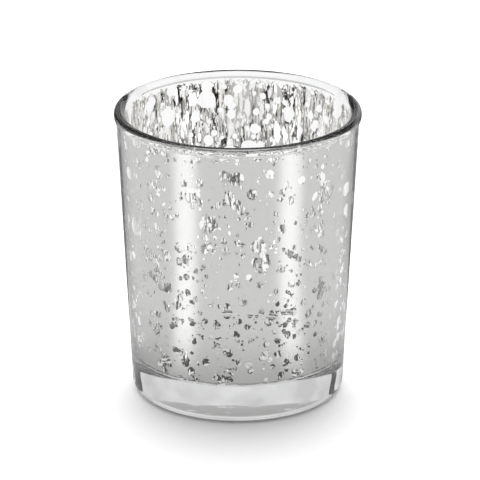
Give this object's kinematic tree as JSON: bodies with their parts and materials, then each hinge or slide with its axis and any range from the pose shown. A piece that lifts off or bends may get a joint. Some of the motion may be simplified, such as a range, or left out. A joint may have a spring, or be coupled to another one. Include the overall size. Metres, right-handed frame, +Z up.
{
  "type": "tealight holder",
  "caption": "Round tapered clear glass tealight holder with a thick base, a beaded rim and a speckled silver mirror film inside.",
  "frame": {"origin": "middle of the base on the plane the cup stands on", "axes": "+Z up along the cup's axis of revolution; X and Y are any two radii"},
  "size_m": [0.056, 0.056, 0.067],
  "materials": {
    "clear_glass": "pressed clear soda glass, fire polished, faintly wavy, knurled foot ring",
    "silver_film": "thin silver mirror film with clear flecks and a ragged top edge, satin through the glass, bright on the cavity side"
  },
  "bodies": {
    "root": {"glass_cup": "clear_glass", "silver_lining": "silver_film"}
  },
  "joints": []
}
